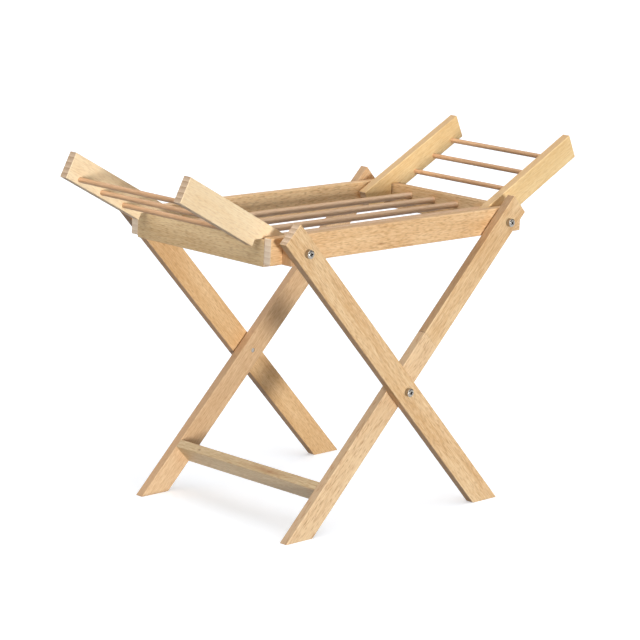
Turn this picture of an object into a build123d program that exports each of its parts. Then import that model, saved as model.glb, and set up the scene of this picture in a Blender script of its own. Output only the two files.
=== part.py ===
from build123d import *
import os
from math import sin, cos, atan2, degrees, radians

# Pasta drying rack in beech strip, standing open. Origin on the floor under the leg crossing,
# X along the long rails, Y from the near side to the far side, Z up. Millimetres and degrees.

# Beech strip that legs, rails, arms, stretcher and spacer blocks are cut from
strip_width = 28.0
strip_thickness = 10.0
eased_edge = 0.5

# Legs
leg_angle = 45.37
leg_below_crossing = 200.2
leg_above_crossing = 232.2
outer_leg_overhang = 29.8
inner_leg_overhang = 26.0
width_over_legs = 252.8

# Gaps between the layers, from the outer leg inwards
crossing_gap = 1.6
rail_gap = 1.6
arm_gap = 4.2

# Top frame
left_overhang = 28.4
right_overhang = 34.9
cross_rail_drop = 2.5
frame_dowel_count = 4
frame_dowel_diameter = 7.0
frame_dowel_spacing = 34.5
frame_dowel_below_top = 9.4
dowel_seat_depth = 7.0

# Spacer block, with the slot that lets the outer leg's top bolt out when the rack folds
block_outboard = 12.2
block_inboard = 15.0
slot_clearance = 0.5
slot_exit_fold = 2.6
frame_turn_share = 39.0 / 84.0

# Wings
wing_angle = 27.3
arm_reach = 153.0
arm_tail = 16.6
arm_tail_radius = 9.5
notch_inner_gap = 1.9
notch_seat_gap = 0.3
notch_outer_along = 38.8
wing_dowel_count = 3
wing_dowel_diameter = 5.5
wing_dowel_spacing = 34.5
wing_dowel_from_tip = 18.0
wing_dowel_above_edge = 5.4

# Stretcher between the inner legs, its wide faces square to them
stretcher_above_foot = 60.2

# Fasteners
bolt_diameter = 5.0
head_diameter = 8.8
head_height = 6.2
head_rim = 0.8
recess_length = 5.6
recess_width = 1.1
recess_depth = 1.8
washer_diameter = 14.0
bolt_tip_setback = 0.4
pivot_skin = 3.0

# Stub tenons hidden in the glued joints of the top frame and the stretcher
tenon_share = 0.6
tenon_depth = 5.0

# Clearances
glue_fit = 0.05
pivot_fit = 0.08
turning_gap = 0.3
head_gap = 0.1
cut_overrun = 5.0

# Places worked out from the sizes above
leg_sine = sin(radians(leg_angle))
leg_cosine = cos(radians(leg_angle))
crossing_height = leg_below_crossing * leg_sine
pivot_height = crossing_height + leg_above_crossing * leg_sine
pivot_reach = leg_above_crossing * leg_cosine
half_strip = strip_width / 2
half_thickness = strip_thickness / 2

outer_leg_face = width_over_legs / 2
inner_leg_face = outer_leg_face - strip_thickness - crossing_gap
rail_face = inner_leg_face - strip_thickness - rail_gap
arm_face = rail_face - strip_thickness - arm_gap
arm_inner_face = arm_face - strip_thickness
block_face = outer_leg_face - strip_thickness - turning_gap
pivot_bottom = arm_inner_face + pivot_skin

rail_top = pivot_height + half_strip
cross_rail_reach = rail_face - strip_thickness
cross_rail_top = rail_top - cross_rail_drop
frame_dowel_height = cross_rail_top - frame_dowel_below_top

stretcher_reach = inner_leg_face - strip_thickness
stretcher_middle = leg_below_crossing - stretcher_above_foot
stretcher_x = -stretcher_middle * leg_cosine
stretcher_z = crossing_height - stretcher_middle * leg_sine

wing_sine = sin(radians(wing_angle))
wing_cosine = cos(radians(wing_angle))
wing_dowel_offset = wing_dowel_above_edge - half_strip

glued_bolt_radius = bolt_diameter / 2 + glue_fit
turning_bolt_radius = bolt_diameter / 2 + pivot_fit
loose_bolt_radius = bolt_diameter / 2 + turning_gap


# Plain shapes
def layer(side, face, depth):
    """Low and high Y of a layer that starts at a face and goes so deep towards the middle."""
    return tuple(sorted((side * face, side * (face - depth))))


def board(points, y_low, y_high):
    """A board cut to an outline in X and Z, before its edges are eased."""
    outline = make_face(Polyline(*points, close=True))
    return extrude(Pos(0, y_high, 0) * (Plane.XZ * outline), amount=y_high - y_low)


def upright_box_corners(left, right, bottom, top):
    """Outline of a straight board that lies along X."""
    return [(left, bottom), (right, bottom), (right, top), (left, top)]


def bar_across(x, z, size_x, size_z, reach, turn):
    """A bar that runs in Y from side to side, turned about its own length, with a tenon at each end."""
    bar = Box(size_x, 2 * reach, size_z)
    bar = chamfer(bar.edges().filter_by(Axis.Y), eased_edge)
    return Pos(x, 0, z) * Rot(0, turn, 0) * bar + tenons(x, z, size_x, size_z, reach, turn, 0)


def tenons(x, z, size_x, size_z, reach, turn, allowance):
    """The tenons at both ends of a bar as one inner core, or their mortises when given an allowance."""
    core = Box(
        size_x * tenon_share + 2 * allowance,
        2 * (reach + tenon_depth + allowance),
        size_z * tenon_share + 2 * allowance,
    )
    return Pos(x, 0, z) * Rot(0, turn, 0) * core


def rod_along_y(radius, x, z, y_low, y_high):
    """A round rod that runs in Y."""
    return Pos(x, (y_low + y_high) / 2, z) * Rot(90, 0, 0) * Cylinder(radius, y_high - y_low)


def rod_along_x(radius, y, z, x_low, x_high):
    """A round rod that runs in X."""
    return Pos((x_low + x_high) / 2, y, z) * Rot(0, 90, 0) * Cylinder(radius, x_high - x_low)


def drill_across(solid, radius, x, z):
    """Drill right through in Y."""
    return solid - rod_along_y(radius, x, z, -width_over_legs, width_over_legs)


def cut_each(solid, tools):
    """Cut several tools from a solid, one after the other."""
    for tool in tools:
        solid -= tool
    return solid


# Legs
def leg_outline(lean, overhang):
    """Outline of a leg that leans to one side: square at the top and cut level on the floor."""
    top = leg_above_crossing + overhang
    foot_x = -lean * leg_below_crossing * leg_cosine
    foot_half = half_strip / leg_sine
    tip_x = lean * top * leg_cosine
    tip_z = crossing_height + top * leg_sine
    across_x = half_strip * leg_sine
    across_z = lean * half_strip * leg_cosine
    return [
        (foot_x - foot_half, 0),
        (foot_x + foot_half, 0),
        (tip_x + across_x, tip_z - across_z),
        (tip_x - across_x, tip_z + across_z),
    ]


def make_outer_leg(side):
    """Outer leg, which turns on the crossing bolt and holds its own bolt at the top."""
    leg = board(leg_outline(-1, outer_leg_overhang), *layer(side, outer_leg_face, strip_thickness))
    leg = chamfer(leg.edges(), eased_edge)
    leg = drill_across(leg, turning_bolt_radius, 0, crossing_height)
    return drill_across(leg, glued_bolt_radius, -pivot_reach, pivot_height)


def make_inner_leg(side):
    """Inner leg, which holds the crossing bolt, the top bolt and the stretcher's tenon."""
    leg = board(leg_outline(1, inner_leg_overhang), *layer(side, inner_leg_face, strip_thickness))
    leg = chamfer(leg.edges(), eased_edge)
    leg = drill_across(leg, glued_bolt_radius, 0, crossing_height)
    leg = drill_across(leg, glued_bolt_radius, pivot_reach, pivot_height)
    return leg - tenons(*stretcher_stance(), glue_fit)


def stretcher_stance():
    """Place, sizes, reach and turn of the stretcher."""
    return stretcher_x, stretcher_z, strip_width, strip_thickness, stretcher_reach, 90 - leg_angle


# Top frame
def overhang(end):
    """How far the long rails run past their pivot at one end."""
    return left_overhang if end < 0 else right_overhang


def rail_end(end):
    """X of the long rails' left or right end."""
    return end * (pivot_reach + overhang(end))


def cross_rail_stance(end):
    """Place, sizes, reach and turn of a cross rail."""
    middle = cross_rail_top - half_strip
    return rail_end(end) - end * half_thickness, middle, strip_thickness, strip_width, cross_rail_reach, 0


def make_long_rail(side):
    """Long rail with a pivot hole and a blind mortise at each end."""
    corners = upright_box_corners(rail_end(-1), rail_end(1), rail_top - strip_width, rail_top)
    rail = board(corners, *layer(side, rail_face, strip_thickness))
    rail = chamfer(rail.edges(), eased_edge)
    rail = drill_across(rail, turning_bolt_radius, pivot_reach, pivot_height)
    rail = drill_across(rail, glued_bolt_radius, -pivot_reach, pivot_height)
    return cut_each(rail, [tenons(*cross_rail_stance(end), glue_fit) for end in ends.values()])


def frame_dowel_places():
    """Y of each frame dowel, spread evenly about the middle."""
    first = -frame_dowel_spacing * (frame_dowel_count - 1) / 2
    return [first + frame_dowel_spacing * number for number in range(frame_dowel_count)]


def make_frame_dowel(y, allowance):
    """One frame dowel, or its pair of blind holes when given an allowance."""
    past_end = dowel_seat_depth - strip_thickness + allowance
    reach = rail_end(-1) - past_end, rail_end(1) + past_end
    return rod_along_x(frame_dowel_diameter / 2 + allowance, y, frame_dowel_height, *reach)


def make_cross_rail(end):
    """Cross rail between the long rails, set a little lower, with blind holes for the dowels."""
    rail = bar_across(*cross_rail_stance(end))
    return cut_each(rail, [make_frame_dowel(y, glue_fit) for y in frame_dowel_places()])


def bolt_path(fold):
    """How far inwards and upwards the outer leg's top bolt has moved in the frame at a fold."""
    distance = 2 * leg_above_crossing * sin(radians(90 - leg_angle - fold / 2))
    climb = radians(fold / 2 + fold * frame_turn_share)
    return 2 * pivot_reach - distance * cos(climb), distance * sin(climb)


def make_spacer_block(side):
    """Block between long rail and outer leg, with a slanted slot that is open at the top."""
    corners = upright_box_corners(
        -pivot_reach - block_outboard, -pivot_reach + block_inboard, rail_top - strip_width, rail_top
    )
    y_low, y_high = layer(side, block_face, block_face - rail_face)
    block = board(corners, y_low, y_high)
    block = chamfer(block.edges(), eased_edge)
    radius = bolt_diameter / 2 + slot_clearance
    length = strip_width + cut_overrun
    slant = degrees(atan2(*bolt_path(slot_exit_fold)))
    slot = Pos(0, 0, length / 2) * Box(2 * radius, y_high - y_low + cut_overrun, length)
    block -= Pos(-pivot_reach, (y_low + y_high) / 2, pivot_height) * Rot(0, slant, 0) * slot
    return drill_across(block, radius, -pivot_reach, pivot_height)


# Wings: an arm is drawn in X and Z from its pivot for the right end, and turned over for the left
def along_arm(along, above):
    """X and Z from the pivot of a place given along the arm and square to it."""
    return along * wing_cosine - above * wing_sine, along * wing_sine + above * wing_cosine


def arm_outline(end):
    """Outline of an arm from its tail along the lower edge, with the notch over the cross rail."""
    notch_side = overhang(end) - strip_thickness - notch_inner_gap
    seat = cross_rail_top - pivot_height + notch_seat_gap
    notch_foot = (notch_side * wing_sine - half_strip) / wing_cosine
    outer_depth = (seat - notch_outer_along * wing_sine) / wing_cosine
    return [
        along_arm(-arm_tail, -half_strip),
        (notch_side, notch_foot),
        (notch_side, seat),
        along_arm(notch_outer_along, outer_depth),
        along_arm(notch_outer_along, -half_strip),
        along_arm(arm_reach, -half_strip),
        along_arm(arm_reach, half_strip),
        along_arm(-arm_tail, half_strip),
    ]


def place_at_end(end, point):
    """X and Z in the rack of a place given from the pivot of a right-hand arm."""
    return end * (pivot_reach + point[0]), pivot_height + point[1]


def wing_dowel_places(end):
    """X and Z of the dowels of one wing, the outermost first."""
    places = []
    for number in range(wing_dowel_count):
        along = arm_reach - wing_dowel_from_tip - wing_dowel_spacing * number
        places.append(place_at_end(end, along_arm(along, wing_dowel_offset)))
    return places


def make_wing_dowel(place, allowance):
    """One wing dowel, or its pair of blind holes when given an allowance."""
    reach = arm_inner_face + dowel_seat_depth + allowance
    return rod_along_y(wing_dowel_diameter / 2 + allowance, *place, -reach, reach)


def make_arm(side, end):
    """One wing arm: notched, with a rounded tail and blind holes for its pivot and its dowels."""
    y_low, y_high = layer(side, arm_face, strip_thickness)
    points = [place_at_end(end, point) for point in arm_outline(end)]
    arm = board(points, y_low, y_high)
    tail_corner = (points[0][0], (y_low + y_high) / 2, points[0][1])
    arm = fillet(arm.edges().filter_by(Axis.Y).sort_by_distance(tail_corner)[0], arm_tail_radius)
    arm = chamfer(arm.faces().filter_by(Axis.Y).edges(), eased_edge)
    x, z = place_at_end(end, (0, 0))
    arm -= rod_along_y(turning_bolt_radius, x, z, *layer(side, arm_face, arm_face - pivot_bottom))
    return cut_each(arm, [make_wing_dowel(place, glue_fit) for place in wing_dowel_places(end)])


# Fasteners
def make_bolt(side, x, z, seat, tip):
    """Bolt with a tall cross-recessed head on a seat face and a plain shank to its tip."""
    crown = seat + head_height
    head = rod_along_y(head_diameter / 2, x, z, *layer(side, crown, head_height))
    rim = head.faces().filter_by(Axis.Y).sort_by(Axis.Y)[0 if side < 0 else -1]
    head = chamfer(rim.edges(), head_rim)
    for size_x, size_z in ((recess_length, recess_width), (recess_width, recess_length)):
        head -= Pos(x, side * crown, z) * Box(size_x, 2 * recess_depth, size_z)
    return head + rod_along_y(bolt_diameter / 2, x, z, *layer(side, seat, seat - tip))


def make_crossing_bolt(side):
    """Bolt at the crossing, its head just clear of the outer leg that turns under it."""
    tip = stretcher_reach + bolt_tip_setback
    return make_bolt(side, 0, crossing_height, outer_leg_face + head_gap, tip)


def make_washer(side, x, z, face, depth):
    """Washer that lies loose on its bolt."""
    washer = rod_along_y(washer_diameter / 2, x, z, *layer(side, face, depth))
    return drill_across(washer, loose_bolt_radius, x, z)


def make_wing_pivot_pin(side):
    """Pin held by the long rail, on which a left arm turns. It ends blind in the arm."""
    length = rail_face - pivot_bottom - bolt_tip_setback
    return rod_along_y(bolt_diameter / 2, -pivot_reach, pivot_height, *layer(side, rail_face, length))


def make_crossing_washer(side):
    """Washer on the inner leg's outer face, where the outer leg turns against it."""
    depth = crossing_gap - turning_gap
    face = inner_leg_face + depth
    return make_washer(side, 0, crossing_height, face, depth)


def make_rail_washer(side):
    """Washer on the inner leg's inner face, where the long rail turns against it."""
    face = inner_leg_face - strip_thickness
    depth = rail_gap - turning_gap
    return make_washer(side, pivot_reach, pivot_height, face, depth)


def make_arm_washer(side, end):
    """Thick washer on a wing arm's outer face, which keeps it off the long rail."""
    depth = arm_gap - turning_gap
    face = arm_face + depth
    return make_washer(side, end * pivot_reach, pivot_height, face, depth)


# Sub-parts
def save(name, *solids):
    """Write one sub-part, as one solid or as a group of separate solids."""
    shape = solids[0] if len(solids) == 1 else Compound(children=list(solids))
    export_step(shape, "parts/" + name + ".step")


sides = {"near": -1, "far": 1}
ends = {"left": -1, "right": 1}
os.makedirs("parts", exist_ok=True)

for side_name, side in sides.items():
    save(side_name + "_outer_leg", make_outer_leg(side))
    save(side_name + "_inner_leg", make_inner_leg(side))
    save(side_name + "_long_rail", make_long_rail(side))
    save(side_name + "_spacer_block", make_spacer_block(side))

for end_name, end in ends.items():
    save(end_name + "_cross_rail", make_cross_rail(end))
    for side_name, side in sides.items():
        save(side_name + "_" + end_name + "_arm", make_arm(side, end))
    for number, place in enumerate(wing_dowel_places(end), start=1):
        save(end_name + "_wing_dowel_" + str(number), make_wing_dowel(place, 0))
    save(end_name + "_arm_washers", *[make_arm_washer(side, end) for side in sides.values()])

for number, y in enumerate(frame_dowel_places(), start=1):
    save("frame_dowel_" + str(number), make_frame_dowel(y, 0))

save("stretcher", bar_across(*stretcher_stance()))

wing_bolt_tip = pivot_bottom + bolt_tip_setback
block_bolt_tip = rail_face + turning_gap
save("crossing_bolts", *[make_crossing_bolt(side) for side in sides.values()])
save(
    "inner_leg_top_bolts",
    *[make_bolt(side, pivot_reach, pivot_height, inner_leg_face, wing_bolt_tip) for side in sides.values()],
)
save(
    "outer_leg_top_bolts",
    *[make_bolt(side, -pivot_reach, pivot_height, outer_leg_face, block_bolt_tip) for side in sides.values()],
)
save("crossing_washers", *[make_crossing_washer(side) for side in sides.values()])
save("rail_washers", *[make_rail_washer(side) for side in sides.values()])
save("left_wing_pivot_pins", *[make_wing_pivot_pin(side) for side in sides.values()])
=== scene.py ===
"""Pasta drying rack in beech strip: the looks of every piece, the bolts, a pale studio and the camera."""

from __future__ import annotations

import logging
import math
from abc import ABC, abstractmethod
from dataclasses import dataclass
from enum import Enum
from typing import Callable

import bpy
from mathutils import Matrix, Vector

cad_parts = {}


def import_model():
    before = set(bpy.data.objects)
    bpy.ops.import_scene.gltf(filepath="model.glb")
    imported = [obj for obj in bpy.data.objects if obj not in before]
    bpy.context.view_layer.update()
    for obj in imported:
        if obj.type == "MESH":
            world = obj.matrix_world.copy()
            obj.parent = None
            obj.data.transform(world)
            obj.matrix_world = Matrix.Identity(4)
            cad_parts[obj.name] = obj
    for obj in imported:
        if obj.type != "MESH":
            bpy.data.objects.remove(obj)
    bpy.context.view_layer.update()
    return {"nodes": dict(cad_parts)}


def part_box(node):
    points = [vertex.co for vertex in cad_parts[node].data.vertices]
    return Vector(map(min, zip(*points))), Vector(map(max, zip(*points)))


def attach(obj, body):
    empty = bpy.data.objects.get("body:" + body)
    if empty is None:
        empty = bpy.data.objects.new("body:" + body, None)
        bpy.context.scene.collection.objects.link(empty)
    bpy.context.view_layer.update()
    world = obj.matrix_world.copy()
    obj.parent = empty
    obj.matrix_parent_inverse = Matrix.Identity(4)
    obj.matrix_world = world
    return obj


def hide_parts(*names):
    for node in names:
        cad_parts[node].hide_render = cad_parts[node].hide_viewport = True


LOG = logging.getLogger("pasta_rack")
MM = 0.001
MM_PER_M = 1000.0

# A board's own axes
ALONG_GRAIN = (1, 0, 0)
ACROSS_WIDTH = (0, 0, 1)

# Sockets of a Mix node for colours
SHARE, UNDER, OVER, MIXED = 0, 6, 7, 2

# Distance between the bands of a wave texture at scale 1
WAVE_PERIOD = math.pi / 10


def srgb(code: str) -> tuple[float, float, float, float]:
    """Turn an sRGB hex colour into the linear colour that a shader takes, by the standard's own curve.

    Args:
        code: Six hex digits, such as "e8c896".

    Returns:
        Linear red, green and blue with full alpha.
    """
    linear = []
    for start in (0, 2, 4):
        value = int(code[start:start + 2], 16) / 255
        linear.append(value / 12.92 if value <= 0.04045 else ((value + 0.055) / 1.055) ** 2.4)
    return linear[0], linear[1], linear[2], 1.0


class Finish:
    """A material and its node tree."""

    def __init__(self, name: str) -> None:
        """Start an empty material.

        Args:
            name: The material's name.
        """
        self.material = bpy.data.materials.new(name)
        self.material.use_nodes = True
        self.tree = self.material.node_tree
        self.tree.nodes.clear()

    def add(self, kind: str, inputs: dict[str | int, object], **settings: object) -> bpy.types.Node:
        """Add a node with its settings and links.

        Args:
            kind: The node's type, without its ShaderNode prefix.
            inputs: Socket name or number, each with a value or with the socket that feeds it.
            settings: The node's own properties.

        Returns:
            The new node.
        """
        node = self.tree.nodes.new("ShaderNode" + kind)
        for name, value in settings.items():
            setattr(node, name, value)
        for name, value in inputs.items():
            if isinstance(value, bpy.types.NodeSocket):
                self.tree.links.new(value, node.inputs[name])
            else:
                node.inputs[name].default_value = value
        return node


class Grain(Enum):
    """Turn about X, Y and Z, in degrees, that brings a board's length onto X."""

    ALONG_X = (0.0, 0.0, 0.0)
    ALONG_Y = (0.0, 0.0, -90.0)
    UPRIGHT = (0.0, 90.0, 0.0)
    OUTER_LEG = (0.0, -45.37, 0.0)
    INNER_LEG = (0.0, 45.37, 0.0)
    LEFT_WING = (0.0, -27.3, 0.0)
    RIGHT_WING = (0.0, 27.3, 0.0)


@dataclass(frozen=True)
class Rings:
    """Growth rings, square to the wide faces. They wander slowly along the board."""

    spacing_mm: float = 6.0
    wander: float = 1.5
    wander_octaves: float = 2.0
    wander_scale: float = 0.3
    change_along: float = 0.02
    share_on_faces: float = 0.14
    share_on_ends: float = 0.75


@dataclass(frozen=True)
class Streaks:
    """Soft noise of about 0.3 to 0.7, drawn out along the grain, and its share in the tone."""

    length_mm: float
    width_mm: float
    octaves: float
    share: float = 1.0


@dataclass(frozen=True)
class Flecks:
    """Ray flecks: short brown dashes along the grain, drawn larger than they are so that they show.

    They appear where their noise passes the threshold's first level, and reach full strength at its second.
    """

    colour: str = "a36d3c"
    length_mm: float = 3.0
    width_mm: float = 0.5
    strength: float = 0.36
    drawn_larger: float = 2.0
    octaves: float = 0.5
    threshold: tuple[float, float] = (0.5, 0.74)


@dataclass(frozen=True)
class GlueJoint:
    """Two lengths of wood glued end to end: a dark line, and below it coarser flecks and a paler tone, which
    is painted light.
    """

    place_mm: float
    line: str = "5f3f26"
    line_mm: float = 0.7
    line_on_faces: float = 0.15
    line_added_on_edges: float = 0.6
    # Painted light: the paler tone that is mixed in below the joint.
    tone: str = "f6dcb8"
    painted_light_share: float = 0.28
    flecks: Flecks = Flecks(strength=0.55, drawn_larger=3.0, octaves=1.0, threshold=(0.58, 0.72))


@dataclass(frozen=True)
class BrownStreak:
    """A small brown streak in the wood, drawn out along the grain. Its middle is a place in the rack."""

    middle_mm: tuple[float, float, float]
    length_mm: float
    width_mm: float
    colour: str = "8a5a30"
    strength: float = 0.6
    full_within: float = 0.1


@dataclass(frozen=True)
class Beech:
    """Planed, unfinished beech, quarter sawn.

    Its faces are pale and even, with soft streaks and many short brown ray flecks along the grain. Its ends
    are pinkish grey, with the growth rings as stripes through the board's thickness. Its sheen is dull.
    """

    name: str
    grain: Grain
    pale: str = "f2d5a9"
    dark: str = "d0a26c"
    tone_range: tuple[float, float] = (1.0, 2.0)
    cloud: Streaks = Streaks(110.0, 16.0, 2.0)
    fibres: Streaks = Streaks(34.0, 0.7, 3.0, share=0.85)
    mottle: Streaks = Streaks(9.0, 1.0, 1.0)
    rings: Rings = Rings()
    flecks: Flecks = Flecks()
    edge: str = "c49a6e"
    edge_share: float = 0.6
    end_pale: str = "dfc6aa"
    end_dark: str = "a98766"
    end_range: tuple[float, float] = (0.45, 1.4)
    seed_mm: float = 0.0
    glue_joint: GlueJoint | None = None
    brown_streaks: tuple[BrownStreak, ...] = ()
    roughness: float = 0.55
    ior: float = 1.5
    relief_mm: float = 0.15
    relief_strength: float = 0.25

    def shift(self) -> Vector:
        """Return how far the board lies from the pattern's start, in millimetres."""
        return Vector((self.seed_mm, self.seed_mm / 3, self.seed_mm / 7))

    def to_board(self) -> Matrix:
        """Work out the turn from the rack's axes to the board's own.

        Returns:
            The turn, as the material's Mapping node makes it.
        """
        turn = Matrix.Identity(3)
        for angle, axis in zip(self.grain.value, "XYZ"):
            turn = Matrix.Rotation(math.radians(angle), 3, axis) @ turn
        return turn

    def direction(self, board_axis: tuple[int, int, int]) -> Vector:
        """Return where a board's own axis points in the rack.

        Args:
            board_axis: ALONG_GRAIN or ACROSS_WIDTH.

        Returns:
            The unit vector.
        """
        return self.to_board().transposed() @ Vector(board_axis)

    def make(self) -> bpy.types.Material:
        """Build the material.

        Returns:
            The finished material.
        """
        return BeechFinish(self).complete()


class BeechFinish(Finish):
    """The node tree of one beech material, laid out in millimetres along the board's own axes."""

    facing_range = (0.75, 0.9)

    def __init__(self, wood: Beech) -> None:
        """Lay out the board's axes, its rings, its fibres and its flecks.

        Args:
            wood: What the board looks like.
        """
        super().__init__(wood.name)
        self.wood = wood
        self.coords = self.add("TexCoord", {})
        board = self.add("Mapping", {
            "Vector": self.coords.outputs["Object"],
            "Location": wood.shift(),
            "Rotation": [math.radians(angle) for angle in wood.grain.value],
            "Scale": (MM_PER_M,) * 3,
        })
        self.place = board.outputs["Vector"]
        self.rings = self.growth_rings(wood.rings)
        self.fibres = self.noise(wood.fibres)
        self.flecks = self.dashes(wood.flecks)

    def growth_rings(self, rings: Rings) -> bpy.types.NodeSocket:
        """Add the growth rings.

        Args:
            rings: Their spacing and wander.

        Returns:
            A saw-toothed level from 0 to 1.
        """
        slow = self.add("Mapping", {"Vector": self.place, "Scale": (rings.change_along, 1.0, 1.0)})
        bands = self.add("TexWave", {
            "Vector": slow.outputs["Vector"],
            "Scale": WAVE_PERIOD / rings.spacing_mm,
            "Distortion": rings.wander,
            "Detail": rings.wander_octaves,
            "Detail Scale": rings.wander_scale,
        }, wave_type="BANDS", bands_direction="Z", wave_profile="SAW")
        return bands.outputs["Fac"]

    def noise(self, streaks: Streaks) -> bpy.types.NodeSocket:
        """Add soft noise drawn out along the grain.

        Args:
            streaks: Its size.

        Returns:
            The noise.
        """
        across = 1 / streaks.width_mm
        sized = self.add("Mapping", {"Vector": self.place, "Scale": (1 / streaks.length_mm, across, across)})
        soft = self.add("TexNoise", {
            "Vector": sized.outputs["Vector"], "Scale": 1.0, "Detail": streaks.octaves,
        })
        return soft.outputs["Fac"]

    def dashes(self, flecks: Flecks) -> bpy.types.NodeSocket:
        """Add ray flecks.

        Args:
            flecks: Their size and strength.

        Returns:
            Their strength at each point.
        """
        larger = flecks.drawn_larger
        noise = self.noise(Streaks(larger * flecks.length_mm, larger * flecks.width_mm, flecks.octaves))
        start, full = flecks.threshold
        picked = self.add("MapRange", {"Value": noise, "From Min": start, "From Max": full,
                                       "To Max": flecks.strength})
        return picked.outputs["Result"]

    def facing(self, board_axis: tuple[int, int, int]) -> bpy.types.NodeSocket:
        """Add a mask for the faces that are square to one of the board's axes.

        Args:
            board_axis: ALONG_GRAIN or ACROSS_WIDTH.

        Returns:
            1 on those faces and 0 on all others.
        """
        normal = self.coords.outputs["Normal"]
        dot = self.add("VectorMath", {0: normal, 1: self.wood.direction(board_axis)}, operation="DOT_PRODUCT")
        size = self.add("Math", {0: dot.outputs["Value"]}, operation="ABSOLUTE")
        start, full = self.facing_range
        mask = self.add("MapRange", {"Value": size.outputs[0], "From Min": start, "From Max": full})
        return mask.outputs["Result"]

    def wide_faces(self) -> bpy.types.NodeSocket:
        """Colour the wide faces: cloudy over some centimetres, streaked by fibres, mottled and flecked.

        Returns:
            The colour.
        """
        wood = self.wood
        ringed = self.add("Math", {0: self.rings, 1: wood.rings.share_on_faces}, operation="MULTIPLY")
        tone = ringed.outputs[0]
        for noise, share in (
            (self.noise(wood.cloud), wood.cloud.share),
            (self.fibres, wood.fibres.share),
            (self.noise(wood.mottle), wood.mottle.share),
        ):
            tone = self.add("Math", {0: noise, 1: share, 2: tone}, operation="MULTIPLY_ADD").outputs[0]
        low, high = wood.tone_range
        level = self.add("MapRange", {"Value": tone, "From Min": low, "From Max": high})
        plain = self.add("Mix", {
            SHARE: level.outputs["Result"], UNDER: srgb(wood.pale), OVER: srgb(wood.dark),
        }, data_type="RGBA")
        flecked = self.add("Mix", {
            SHARE: self.flecks, UNDER: plain.outputs[MIXED], OVER: srgb(wood.flecks.colour),
        }, data_type="RGBA")
        return flecked.outputs[MIXED]

    def with_edges(self, faces: bpy.types.NodeSocket) -> bpy.types.NodeSocket:
        """Tone the narrow edges, which are cut along the rings and so are pinker and a little darker. On the
        legs the edge colours are darker still, as painted shade.

        Args:
            faces: The colour of the wide faces.

        Returns:
            The colour of all four sides.
        """
        share = self.add("Math", {
            0: self.facing(ACROSS_WIDTH), 1: self.wood.edge_share,
        }, operation="MULTIPLY")
        sides = self.add("Mix", {
            SHARE: share.outputs[0], UNDER: faces, OVER: srgb(self.wood.edge),
        }, data_type="RGBA")
        return sides.outputs[MIXED]

    def with_glue_joint(self, sides: bpy.types.NodeSocket, joint: GlueJoint) -> bpy.types.NodeSocket:
        """Draw a glue joint across the board, and below it coarser flecks and a paler tone, which is painted
        light.

        Args:
            sides: The colour of the sides.
            joint: The joint.

        Returns:
            The colour with the joint.
        """
        along = self.add("SeparateXYZ", {"Vector": self.place})
        beyond = self.add("Math", {
            0: along.outputs["X"], 1: self.wood.seed_mm + joint.place_mm,
        }, operation="SUBTRACT")
        below = self.add("Math", {0: beyond.outputs[0], 1: 0.0}, operation="LESS_THAN")
        # Painted light: a paler tone mixed in below the joint.
        share = self.add("Math", {0: below.outputs[0], 1: joint.painted_light_share}, operation="MULTIPLY")
        painted_light_below = self.add("Mix", {
            SHARE: share.outputs[0], UNDER: sides, OVER: srgb(joint.tone),
        }, data_type="RGBA")
        shown = self.add("Math", {0: self.dashes(joint.flecks), 1: below.outputs[0]}, operation="MULTIPLY")
        flecked = self.add("Mix", {
            SHARE: shown.outputs[0], UNDER: painted_light_below.outputs[MIXED], OVER: srgb(joint.flecks.colour),
        }, data_type="RGBA")

        away = self.add("Math", {0: beyond.outputs[0]}, operation="ABSOLUTE")
        line = self.add("Math", {0: away.outputs[0], 1: joint.line_mm / 2}, operation="LESS_THAN")
        depth = self.add("Math", {
            0: self.facing(ACROSS_WIDTH), 1: joint.line_added_on_edges, 2: joint.line_on_faces,
        }, operation="MULTIPLY_ADD")
        drawn = self.add("Math", {0: line.outputs[0], 1: depth.outputs[0]}, operation="MULTIPLY")
        joined = self.add("Mix", {
            SHARE: drawn.outputs[0], UNDER: flecked.outputs[MIXED], OVER: srgb(joint.line),
        }, data_type="RGBA")
        return joined.outputs[MIXED]

    def with_brown_streak(self, sides: bpy.types.NodeSocket, streak: BrownStreak) -> bpy.types.NodeSocket:
        """Draw a brown streak that fades out from its middle.

        Args:
            sides: The colour of the sides.
            streak: The streak.

        Returns:
            The colour with the streak.
        """
        middle = self.wood.to_board() @ Vector(streak.middle_mm) + self.wood.shift()
        across = 2 / streak.width_mm
        off = self.add("VectorMath", {0: self.place, 1: middle}, operation="SUBTRACT")
        sized = self.add("VectorMath", {
            0: off.outputs[0], 1: (2 / streak.length_mm, across, across),
        }, operation="MULTIPLY")
        away = self.add("VectorMath", {0: sized.outputs[0]}, operation="LENGTH")
        faded = self.add("MapRange", {
            "Value": away.outputs["Value"], "From Min": 1.0, "From Max": streak.full_within,
            "To Max": streak.strength,
        })
        streaked = self.add("Mix", {
            SHARE: faded.outputs["Result"], UNDER: sides, OVER: srgb(streak.colour),
        }, data_type="RGBA")
        return streaked.outputs[MIXED]

    def with_end_grain(self, sides: bpy.types.NodeSocket) -> bpy.types.NodeSocket:
        """Colour the two ends, where the rings run through as soft stripes.

        Args:
            sides: The colour of the sides.

        Returns:
            The colour of the whole board.
        """
        wood = self.wood
        low, high = wood.end_range
        striped = self.add("Math", {
            0: self.rings, 1: wood.rings.share_on_ends, 2: self.fibres,
        }, operation="MULTIPLY_ADD")
        level = self.add("MapRange", {"Value": striped.outputs[0], "From Min": low, "From Max": high})
        end = self.add("Mix", {
            SHARE: level.outputs["Result"], UNDER: srgb(wood.end_pale), OVER: srgb(wood.end_dark),
        }, data_type="RGBA")
        whole = self.add("Mix", {
            SHARE: self.facing(ALONG_GRAIN), UNDER: sides, OVER: end.outputs[MIXED],
        }, data_type="RGBA")
        return whole.outputs[MIXED]

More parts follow.
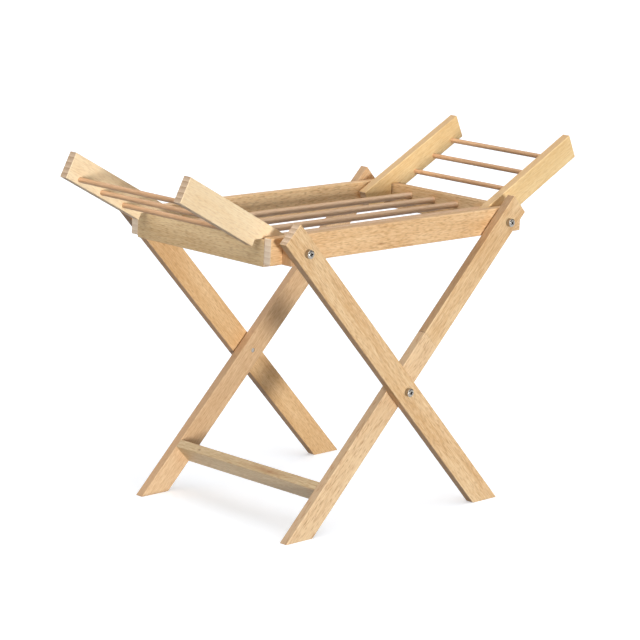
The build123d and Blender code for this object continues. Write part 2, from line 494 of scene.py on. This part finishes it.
    def complete(self) -> bpy.types.Material:
        """Put the board's colours together and join them to the shader, with a relief of fibres and flecks.

        Returns:
            The finished material.
        """
        wood = self.wood
        sides = self.with_edges(self.wide_faces())
        if wood.glue_joint is not None:
            sides = self.with_glue_joint(sides, wood.glue_joint)
        for streak in wood.brown_streaks:
            sides = self.with_brown_streak(sides, streak)
        relief = self.add("Math", {0: self.fibres, 1: self.flecks}, operation="SUBTRACT")
        bump = self.add("Bump", {
            "Height": relief.outputs[0], "Strength": wood.relief_strength, "Distance": wood.relief_mm * MM,
        })
        shader = self.add("BsdfPrincipled", {
            "Base Color": self.with_end_grain(sides),
            "Roughness": wood.roughness,
            "IOR": wood.ior,
            "Normal": bump.outputs["Normal"],
        })
        self.add("OutputMaterial", {"Surface": shader.outputs["BSDF"]})
        return self.material


@dataclass(frozen=True)
class ZincSteel:
    """Bright zinc-plated steel, turned and barrelled: a soft mirror broken by fine hairlines."""

    name: str = "zinc_plated_steel"
    colour: str = "aaa49b"
    roughness: float = 0.13
    smoother: float = 0.05
    rougher: float = 0.09
    hairline_mm: float = 0.25
    octaves: float = 2.0

    def make(self) -> bpy.types.Material:
        """Build the material.

        Returns:
            The finished material.
        """
        finish = Finish(self.name)
        add = finish.add
        coords = add("TexCoord", {})
        fine = add("Mapping", {
            "Vector": coords.outputs["Object"], "Scale": (MM_PER_M / self.hairline_mm,) * 3,
        })
        hairs = add("TexNoise", {"Vector": fine.outputs["Vector"], "Scale": 1.0, "Detail": self.octaves})
        rough = add("MapRange", {
            "Value": hairs.outputs["Fac"],
            "To Min": self.roughness - self.smoother,
            "To Max": self.roughness + self.rougher,
        })
        shader = add("BsdfPrincipled", {
            "Base Color": srgb(self.colour),
            "Metallic": 1.0,
            "Roughness": rough.outputs["Result"],
        })
        add("OutputMaterial", {"Surface": shader.outputs["BSDF"]})
        return finish.material


@dataclass(frozen=True)
class StudioWhite:
    """White paper that glows a little, so that shadows on it stay faint.

    It is slightly blue, to cancel the warm light that the wood throws into its own shadow.
    """

    name: str = "studio_paper"
    colour: str = "dfe3e9"
    roughness: float = 0.9
    glow: float = 0.45
    glow_colour: str = "ffffff"

    def make(self) -> bpy.types.Material:
        """Build the material.

        Returns:
            The finished material.
        """
        finish = Finish(self.name)
        shader = finish.add("BsdfPrincipled", {
            "Base Color": srgb(self.colour),
            "Roughness": self.roughness,
            "Emission Color": srgb(self.glow_colour),
            "Emission Strength": self.glow,
        })
        finish.add("OutputMaterial", {"Surface": shader.outputs["BSDF"]})
        return finish.material


def dress(node: bpy.types.Object, material: bpy.types.Material) -> None:
    """Give an object one material all over.

    Args:
        node: The object to dress.
        material: Its finish.
    """
    if not node.material_slots:
        node.data.materials.append(material)
    for slot in node.material_slots:
        slot.link = "OBJECT"
        slot.material = material


class Element(Enum):
    """What is picked on a mesh."""

    EDGES = "EDGE"
    FACES = "FACE"


class Workpiece:
    """A mesh that is shaped in edit mode, with its edges and faces picked by their place."""

    def __init__(self, piece: bpy.types.Object) -> None:
        """Take over a new primitive.

        Args:
            piece: The object to shape.
        """
        self.piece = piece

    def pick(self, element: Element, test: Callable[[Vector], bool]) -> None:
        """Enter edit mode with only those edges or faces selected whose corners all pass a test.

        Args:
            element: Edges or faces.
            test: Says of a corner's place whether it passes.
        """
        mesh = self.piece.data
        bpy.ops.object.mode_set(mode="EDIT")
        bpy.ops.mesh.select_mode(type=element.value)
        bpy.ops.mesh.select_all(action="DESELECT")
        bpy.ops.object.mode_set(mode="OBJECT")
        for item in (mesh.edges if element is Element.EDGES else mesh.polygons):
            item.select = all(test(mesh.vertices[number].co) for number in item.vertices)
        bpy.ops.object.mode_set(mode="EDIT")

    def leave(self) -> None:
        """Go back to object mode."""
        bpy.ops.object.mode_set(mode="OBJECT")

    def cut(self, tool: bpy.types.Object) -> None:
        """Cut a tool from the piece and throw the tool away.

        Args:
            tool: The object to cut with.
        """
        modifier = self.piece.modifiers.new("cut", "BOOLEAN")
        modifier.operation = "DIFFERENCE"
        modifier.solver = "EXACT"
        modifier.object = tool
        bpy.context.view_layer.objects.active = self.piece
        bpy.ops.object.modifier_apply(modifier=modifier.name)
        bpy.data.objects.remove(tool)


@dataclass(frozen=True)
class CrossHeadBolt:
    """A bolt with a tall barrel head, rounded above and below, and a tapered cross recess."""

    head_mm: float = 9.2
    height_mm: float = 6.1
    shank_mm: float = 5.0
    crown_round_mm: float = 1.5
    crown_segments: int = 5
    base_round_mm: float = 1.6
    base_segments: int = 3
    recess_length_mm: float = 5.8
    recess_width_mm: float = 1.7
    recess_depth_mm: float = 3.2
    recess_taper: float = 0.6
    recess_bars: tuple[float, float] = (0.0, 90.0)
    sides: int = 48
    smooth_angle: float = 40.0

    def model(self, shank_length: float) -> bpy.types.Object:
        """Model one bolt, its head up and its seat at the origin.

        Args:
            shank_length: Length of the shank in metres.

        Returns:
            The bolt.
        """
        radius, height = self.head_mm / 2 * MM, self.height_mm * MM
        bpy.ops.object.select_all(action="DESELECT")
        bpy.ops.mesh.primitive_cylinder_add(vertices=self.sides, radius=radius, depth=height,
                                            location=(0, 0, height / 2))
        bpy.ops.object.transform_apply(location=True, rotation=False, scale=False)
        bolt = Workpiece(bpy.context.object)
        close = radius / 100  # Corners this near to a plane lie on it
        bolt.pick(Element.EDGES, lambda corner: corner.z > height - close)
        bpy.ops.mesh.bevel(offset=self.crown_round_mm * MM, segments=self.crown_segments, affect="EDGES")
        bolt.leave()
        bolt.pick(Element.EDGES, lambda corner: corner.z < close)
        bpy.ops.mesh.bevel(offset=self.base_round_mm * MM, segments=self.base_segments, affect="EDGES")
        bolt.leave()
        bolt.pick(Element.FACES, lambda corner: corner.z < close)
        bpy.ops.mesh.inset(thickness=radius - (self.base_round_mm + self.shank_mm / 2) * MM)
        bpy.ops.mesh.extrude_region_move(TRANSFORM_OT_translate={"value": (0, 0, -shank_length)})
        bolt.leave()
        for turn in self.recess_bars:
            bolt.cut(self.recess_tool(height, turn))
        bpy.ops.object.select_all(action="DESELECT")
        bolt.piece.select_set(True)
        bpy.ops.object.shade_smooth_by_angle(angle=math.radians(self.smooth_angle))
        return bolt.piece

    def recess_tool(self, height: float, turn: float) -> bpy.types.Object:
        """Model the tool for one bar of the cross recess, which narrows towards its floor.

        Args:
            height: Height of the crown in metres. Half of the tool stands above it.
            turn: Turn of the bar about the bolt, in degrees.

        Returns:
            The tool.
        """
        bpy.ops.mesh.primitive_cube_add(size=1.0)
        tool = Workpiece(bpy.context.object)
        place = Matrix.Translation((0, 0, height)) @ Matrix.Rotation(math.radians(turn), 4, "Z")
        size = Matrix.Diagonal((
            self.recess_length_mm * MM, self.recess_width_mm * MM, 2 * self.recess_depth_mm * MM, 1.0,
        ))
        tool.piece.data.transform(place @ size)
        tool.pick(Element.FACES, lambda corner: corner.z < height)
        bpy.ops.transform.resize(value=(self.recess_taper, self.recess_taper, 1.0))
        tool.leave()
        return tool.piece

    def fit(self, name: str, node: bpy.types.Object, body: str, turn: float) -> None:
        """Put a pair of bolts, one on each side, in the place of a node.

        Args:
            name: The new piece's name.
            node: The node that holds the pair in the frame.
            body: The body that they ride on.
            turn: Turn of the recess about the bolt, in degrees.
        """
        low, high = (Vector(corner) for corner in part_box(node.name))
        tip = min(abs(corner.co.y) for corner in node.data.vertices)
        seat = high.y - self.height_mm * MM
        middle = (low + high) / 2
        bolts = []
        for side in (-1, 1):
            bolt = self.model(seat - tip)
            bolt.data.transform(Matrix.Translation((middle.x, side * seat, middle.z))
                                @ Matrix.Rotation(-side * math.pi / 2, 4, "X")
                                @ Matrix.Rotation(math.radians(turn), 4, "Z"))
            bolts.append(bolt)
        bpy.ops.object.select_all(action="DESELECT")
        for bolt in bolts:
            bolt.select_set(True)
        bpy.context.view_layer.objects.active = bolts[0]
        bpy.ops.object.join()
        pair = bpy.context.object
        pair.name = name
        dress(pair, ZincSteel(name=f"zinc_plated_{name}").make())
        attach(pair, body)
        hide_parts(node.name)
        LOG.info("bolts: %s in place of %s", name, node.name)


class SubAssembly(ABC):
    """Some nodes of the frame that are dressed together."""

    title: str

    @abstractmethod
    def finishes(self) -> dict[Beech | ZincSteel, list[str]]:
        """Return each finish with the nodes that get it."""

    def dress(self, nodes: dict[str, bpy.types.Object]) -> None:
        """Give every node its finish.

        Args:
            nodes: The frame's nodes by name.
        """
        for finish, names in self.finishes().items():
            material = finish.make()
            for name in names:
                dress(nodes[name], material)
            LOG.info("%s: %s on %s", self.title, finish.name, ", ".join(names))


@dataclass(frozen=True)
class Legs(SubAssembly):
    """The crossed legs and their stretcher. One inner leg is glued up from two lengths."""

    title: str = "legs"
    # Painted shade: the outer legs' narrow faces look down and lie in shade, and this dark edge colour paints
    # that shade.
    outer_edge_painted_shade: str = "a8784c"
    glue_joint: GlueJoint = GlueJoint(168.5)
    stretcher_marks: tuple[BrownStreak, ...] = (
        BrownStreak((-108.8, 71.7, 52.2), 6.0, 3.6, colour="6e4424"),
        BrownStreak((-109.1, -35.9, 51.9), 12.0, 3.6),
        BrownStreak((-108.5, -30.0, 52.4), 80.0, 8.0, colour="a8784c", strength=0.5),
    )

    def finishes(self) -> dict[Beech | ZincSteel, list[str]]:
        """Choose the finishes.

        Returns:
            Each finish with the nodes that get it.
        """
        return {
            Beech("beech_near_outer_leg", Grain.OUTER_LEG, edge=self.outer_edge_painted_shade): ["near_outer_leg"],
            # Painted shade: the far outer leg's tones are darkened for the shade that falls on it.
            Beech("beech_far_outer_leg", Grain.OUTER_LEG, seed_mm=170.0, pale="ecca9a", dark="ca9a62",
                  edge=self.outer_edge_painted_shade): ["far_outer_leg"],
            # Painted shade: this leg's edge colour is darkened for the shade that falls on its up-facing
            # edge.
            Beech("beech_near_inner_leg", Grain.INNER_LEG, seed_mm=310.0, edge="80593a",
                  glue_joint=self.glue_joint): ["near_inner_leg"],
            # Painted shade: the far inner leg's tones and edge colour are darkened for the shade that falls
            # on it.
            Beech("beech_far_inner_leg", Grain.INNER_LEG, seed_mm=420.0, pale="e2c39a", dark="c29a70",
                  edge="b58c66"): ["far_inner_leg"],
            # Painted shade: the stretcher's darker tones stand for the shade that falls on it; its streaks
            # are marks in the wood.
            Beech("beech_stretcher", Grain.ALONG_Y, seed_mm=90.0, pale="dac29a", dark="b49870",
                  brown_streaks=self.stretcher_marks): ["stretcher"],
        }


@dataclass(frozen=True)
class TopFrame(SubAssembly):
    """The rails, the long dowels and the spacer blocks."""

    title: str = "top frame"
    dowels: int = 4
    rail_flecks: Flecks = Flecks(colour="9c6531", width_mm=0.55, strength=0.38)
    rail_end_pale: str = "fbe9d2"
    rail_end_dark: str = "e6cdb2"
    dowel_flecks: Flecks = Flecks(strength=0.12)
    near_rail_mark: BrownStreak = BrownStreak((-28.0, -103.2, 300.6), 20.0, 3.0)

    def finishes(self) -> dict[Beech | ZincSteel, list[str]]:
        """Choose the finishes.

        Returns:
            Each finish with the nodes that get it.
        """
        rail = {"flecks": self.rail_flecks, "end_pale": self.rail_end_pale, "end_dark": self.rail_end_dark}
        return {
            Beech("beech_near_long_rail", Grain.ALONG_X, seed_mm=700.0, pale="f4d2a4", dark="cf9e66",
                  brown_streaks=(self.near_rail_mark,), **rail): ["near_long_rail"],
            # Painted light: the far rail's paler tones and edge colour stand for light on its inner face.
            Beech("beech_far_long_rail", Grain.ALONG_X, seed_mm=560.0, pale="ffe4b8", dark="e2b47c",
                  edge="dcb284", **rail): ["far_long_rail"],
            # Painted light: the left cross rail's paler, yellower tones stand for pale light thrown on its
            # outer face.
            Beech("beech_left_cross_rail", Grain.ALONG_Y, seed_mm=440.0, pale="f6deb2",
                  dark="d6af7a"): ["left_cross_rail"],
            Beech("beech_right_cross_rail", Grain.ALONG_Y, seed_mm=230.0): ["right_cross_rail"],
            # Painted shade: the spacer blocks' darker tones stand for the shade in the nook between leg and
            # rail.
            Beech("beech_spacer_blocks", Grain.UPRIGHT, seed_mm=150.0, pale="dcb68c",
                  dark="b78c60"): ["near_spacer_block", "far_spacer_block"],
            # Painted light: the frame dowels' paler tones stand for light that reaches them from above.
            Beech("beech_frame_dowels", Grain.ALONG_X, seed_mm=260.0, pale="f6dabb", dark="e0b892",
                  flecks=self.dowel_flecks): [f"frame_dowel_{number + 1}" for number in range(self.dowels)],
        }


class End(Enum):
    """An end of the rack, by its name in the nodes."""

    LEFT = "left"
    RIGHT = "right"


@dataclass(frozen=True)
class Wing(SubAssembly):
    """One wing: two arms and the short dowels between them."""

    end: End
    grain: Grain
    seed_mm: float
    arm_pale: str
    arm_dark: str
    arm_flecks: Flecks = Flecks(strength=0.18)
    dowels: int = 3
    dowel_pale: str = "ecc49c"
    dowel_dark: str = "cf9f74"
    dowel_flecks: Flecks = Flecks(strength=0.12)

    @property
    def title(self) -> str:
        """Name the wing."""
        return f"{self.end.value} wing"

    def finishes(self) -> dict[Beech | ZincSteel, list[str]]:
        """Choose the finishes.

        Returns:
            Each finish with the nodes that get it.
        """
        end = self.end.value
        return {
            Beech(f"beech_{end}_arms", self.grain, seed_mm=self.seed_mm, pale=self.arm_pale,
                  dark=self.arm_dark, flecks=self.arm_flecks): [f"near_{end}_arm", f"far_{end}_arm"],
            Beech(f"beech_{end}_wing_dowels", Grain.ALONG_Y, seed_mm=self.seed_mm, pale=self.dowel_pale,
                  dark=self.dowel_dark, flecks=self.dowel_flecks): [
                f"{end}_wing_dowel_{number + 1}" for number in range(self.dowels)
            ],
        }


@dataclass(frozen=True)
class Metalwork(SubAssembly):
    """The washers, the pivot pins and three pairs of bolts, each with the turn of its recess in degrees."""

    title: str = "metalwork"
    bolt: CrossHeadBolt = CrossHeadBolt()
    bolt_pairs: tuple[tuple[str, str, str, float], ...] = (
        ("crossing_bolt_pair", "crossing_bolts", "inner_legs", 25.0),
        ("inner_leg_bolt_pair", "inner_leg_top_bolts", "inner_legs", 45.0),
        ("outer_leg_bolt_pair", "outer_leg_top_bolts", "outer_legs", 8.0),
    )

    def finishes(self) -> dict[Beech | ZincSteel, list[str]]:
        """Choose the finishes.

        Returns:
            Each finish with the nodes that get it.
        """
        return {
            ZincSteel(): [
                "crossing_washers", "rail_washers", "left_arm_washers", "right_arm_washers",
                "left_wing_pivot_pins",
            ],
        }

    def fit_bolts(self, nodes: dict[str, bpy.types.Object]) -> None:
        """Put the modelled bolts in the place of the frame's.

        Args:
            nodes: The frame's nodes by name.
        """
        for name, node, body, turn in self.bolt_pairs:
            self.bolt.fit(name, nodes[node], body, turn)


class Reach(Enum):
    """What a lamp lights, as the state of its light link to the floor."""

    FLOOR = "INCLUDE"
    RACK = "EXCLUDE"


@dataclass(frozen=True)
class Lamp:
    """A far studio lamp. It stands in the direction that "towards" gives, and its spread is in degrees."""

    name: str
    towards: tuple[float, float, float]
    power: float
    spread: float
    reach: Reach

    def build(self, floor: bpy.types.Object) -> None:
        """Add the lamp, turned so that it shines from its direction.

        Args:
            floor: The floor, which the lamp lights alone or leaves out.
        """
        bpy.ops.object.select_all(action="DESELECT")
        bpy.ops.object.light_add(type="SUN")
        lamp = bpy.context.object
        lamp.name = self.name
        lamp.data.energy = self.power
        lamp.data.angle = math.radians(self.spread)
        lamp.rotation_euler = Vector(self.towards).to_track_quat("Z", "Y").to_euler()
        lamp.select_set(False)
        floor.select_set(True)
        bpy.ops.object.light_linking_receivers_link(link_state=self.reach.value)


@dataclass(frozen=True)
class BounceCard:
    """The lit patch of white table under the rack, which brightens what is low and faces down."""

    middle: tuple[float, float, float] = (-0.2, 0.03, 0.002)
    width: float = 0.26
    power: float = 0.09

    def build(self) -> None:
        """Lay the card on the floor, facing up and unseen by the camera."""
        bpy.ops.object.light_add(type="AREA", location=self.middle, rotation=(math.pi, 0.0, 0.0))
        card = bpy.context.object
        card.name = "bounce_card"
        card.data.size = self.width
        card.data.energy = self.power
        card.visible_camera = False


@dataclass(frozen=True)
class Studio:
    """White floor, soft light and the camera, which looks down at the rack from its left front.

    The sky's levels run from 0, straight down, to 1, straight up.
    """

    floor_width: float = 40.0
    floor_paper: StudioWhite = StudioWhite()
    backdrop_paper: StudioWhite = StudioWhite(name="backdrop_paper", glow=1.0)
    sky_levels: tuple[tuple[float, str], ...] = ((0.3, "20160f"), (0.55, "38322c"), (1.0, "e8e8e8"))
    lamps: tuple[Lamp, ...] = (
        Lamp("front_softbox", (-0.34, -1.0, 0.01), 2.6, 11.0, Reach.RACK),
        Lamp("overhead_softbox", (-0.62, -0.1, 0.78), 1.4, 50.0, Reach.RACK),
        Lamp("rear_softbox", (0.35, 1.0, 0.2), 1.3, 40.0, Reach.RACK),
        Lamp("floor_softbox", (0.05, -0.42, 0.9), 1.3, 85.0, Reach.FLOOR),
        Lamp("floor_grazer", (-0.03, -1.0, 0.13), 1.5, 9.0, Reach.FLOOR),
    )
    bounce_card: BounceCard = BounceCard()
    place_mm: tuple[float, float, float] = (-2084.0, -1956.5, 813.0)
    azimuth: float = -46.733
    elevation: float = 12.171
    roll: float = 3.020
    sensor_mm: float = 36.0
    focal_px: float = 2699.7
    frame_px: float = 640.0

    def build(self) -> None:
        """Build floor, lights and camera."""
        floor = self.lay_floor()
        self.hang_backdrop()
        self.hang_sky()
        for lamp in self.lamps:
            lamp.build(floor)
        self.bounce_card.build()
        bpy.context.scene.view_settings.view_transform = "Standard"
        self.add_camera()

    def lay_floor(self) -> bpy.types.Object:
        """Lay the floor, which neither colours the rack nor shades it from a low lamp.

        Returns:
            The floor.
        """
        bpy.ops.object.select_all(action="DESELECT")
        bpy.ops.mesh.primitive_plane_add(size=self.floor_width)
        floor = bpy.context.object
        floor.name = "floor"
        dress(floor, self.floor_paper.make())
        floor.visible_diffuse = False
        floor.visible_shadow = False
        return floor

    def hang_backdrop(self) -> None:
        """Close the studio with a white dome that only the camera sees, for views from low down."""
        bpy.ops.mesh.primitive_uv_sphere_add(radius=self.floor_width / 2)
        dome = bpy.context.object
        dome.name = "backdrop"
        dress(dome, self.backdrop_paper.make())
        dome.visible_diffuse = False
        dome.visible_glossy = False
        dome.visible_shadow = False

    def hang_sky(self) -> None:
        """Light the rack from a white room, brightest overhead and darkest below."""
        world = bpy.data.worlds.new("studio")
        bpy.context.scene.world = world
        world.use_nodes = True
        tree = world.node_tree
        coords = tree.nodes.new("ShaderNodeTexCoord")
        split = tree.nodes.new("ShaderNodeSeparateXYZ")
        height = tree.nodes.new("ShaderNodeMapRange")
        height.inputs["From Min"].default_value = -1.0
        shade = tree.nodes.new("ShaderNodeValToRGB")
        stops = shade.color_ramp.elements
        while len(stops) < len(self.sky_levels):
            stops.new(0.5)  # In the middle, so that the stops stay in order
        for stop, (position, colour) in zip(stops, self.sky_levels):
            stop.position = position
            stop.color = srgb(colour)
        tree.links.new(coords.outputs["Generated"], split.inputs["Vector"])
        tree.links.new(split.outputs["Z"], height.inputs["Value"])
        tree.links.new(height.outputs["Result"], shade.inputs["Fac"])
        tree.links.new(shade.outputs["Color"], tree.nodes["Background"].inputs["Color"])

    def add_camera(self) -> None:
        """Place the camera by its azimuth, elevation and roll."""
        around, above, roll = (math.radians(angle) for angle in (self.azimuth, self.elevation, self.roll))
        back = Vector((
            math.sin(around) * math.cos(above),
            -math.cos(around) * math.cos(above),
            math.sin(above),
        ))
        right = (-back).cross(Vector((0, 0, 1))).normalized()
        up = right.cross(-back)
        across = right * math.cos(roll) + up * math.sin(roll)
        upward = up * math.cos(roll) - right * math.sin(roll)
        data = bpy.data.cameras.new("camera")
        data.sensor_width = self.sensor_mm
        data.lens = self.focal_px * self.sensor_mm / self.frame_px
        camera = bpy.data.objects.new("camera", data)
        bpy.context.scene.collection.objects.link(camera)
        turn = Matrix((across, upward, back)).transposed().to_4x4()
        camera.matrix_world = Matrix.Translation(Vector(self.place_mm) * MM) @ turn
        bpy.context.scene.camera = camera


def main() -> None:
    """Dress the rack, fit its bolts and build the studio."""
    logging.basicConfig(level=logging.INFO, format="%(message)s")
    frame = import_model()
    metalwork = Metalwork()
    for part in (
        Legs(),
        TopFrame(),
        Wing(End.LEFT, Grain.LEFT_WING, 520.0, arm_pale="f8e4c0", arm_dark="ebcc9f"),
        Wing(End.RIGHT, Grain.RIGHT_WING, 830.0, arm_pale="f4d8a4", arm_dark="e0b87c"),
        metalwork,
    ):
        part.dress(frame["nodes"])
    metalwork.fit_bolts(frame["nodes"])
    Studio().build()


if __name__ == "__main__":
    main()
